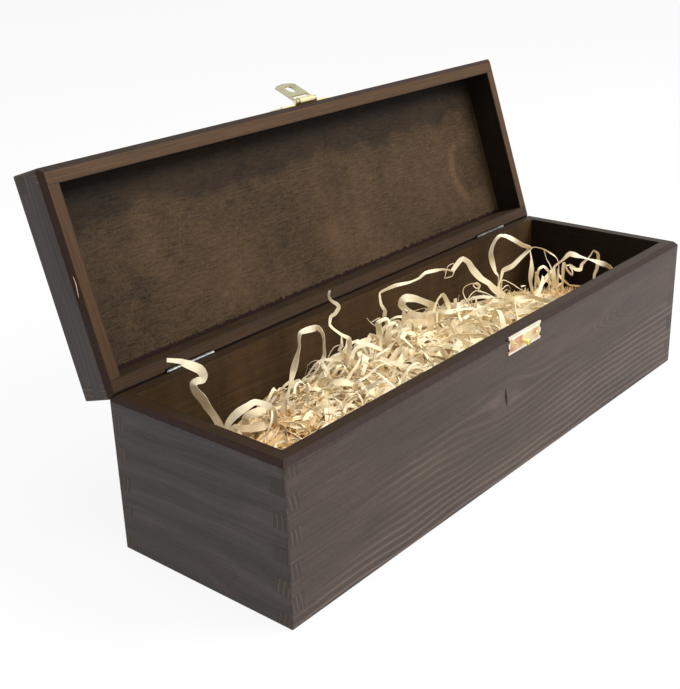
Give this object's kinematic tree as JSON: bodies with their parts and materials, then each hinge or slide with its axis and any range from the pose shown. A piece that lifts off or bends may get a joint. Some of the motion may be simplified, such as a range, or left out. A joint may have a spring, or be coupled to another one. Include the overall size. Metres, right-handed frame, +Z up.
{
  "type": "wooden bottle gift box",
  "caption": "Finger-jointed wooden gift box for one bottle, with a hinged lid standing open, a brass hasp latch and a filling of wood wool.",
  "frame": {"origin": "middle of the case's flat underside", "axes": "+X along the box's length, to the right seen from the front; the front with the latch faces -Y, the hinges are on +Y; +Z up, the way the case's mouth faces"},
  "size_m": [0.36, 0.1632, 0.1893],
  "materials": {
    "stained_boards": "matt grey-brown stain over softwood, grain along the boards, bare end grain darker",
    "plywood": "matt stained plywood with blotchy figure",
    "hinge_metal": "bright zinc plate",
    "latch_brass": "thin stamped brass plate, bright edges",
    "wood_wool": "loose curled shavings of pale softwood"
  },
  "bodies": {
    "base": {"base_front_board": "stained_boards", "base_back_board": "stained_boards", "base_left_end": "stained_boards", "base_right_end": "stained_boards", "base_bottom_panel": "plywood", "left_hinge_base_leaf": "hinge_metal", "right_hinge_base_leaf": "hinge_metal", "left_hinge_pin": "hinge_metal", "right_hinge_pin": "hinge_metal", "hinge_base_screws": "hinge_metal", "catch_plate": "latch_brass", "catch_stud": "latch_brass", "catch_nails": "latch_brass", "wood_wool": "wood_wool"},
    "lid": {"lid_front_board": "stained_boards", "lid_back_board": "stained_boards", "lid_left_end": "stained_boards", "lid_right_end": "stained_boards", "lid_top_panel": "plywood", "left_hinge_lid_leaf": "hinge_metal", "right_hinge_lid_leaf": "hinge_metal", "hinge_lid_screws": "hinge_metal", "latch_plate": "latch_brass", "latch_pin": "latch_brass", "latch_nails": "latch_brass"},
    "latch_tongue": {"latch_tongue": "latch_brass"}
  },
  "joints": [
    {"name": "lid_hinge", "type": "hinge", "parent": "base", "child": "lid", "pos_m": [0, 0.05231, 0.08015], "axis": [1, 0, 0], "range_deg": [0, 108]},
    {"name": "tongue_hinge", "type": "hinge", "parent": "lid", "child": "latch_tongue", "pos_m": [0, 0.08878, 0.18219], "axis": [1, 0, 0], "range_deg": [0, 140]}
  ]
}
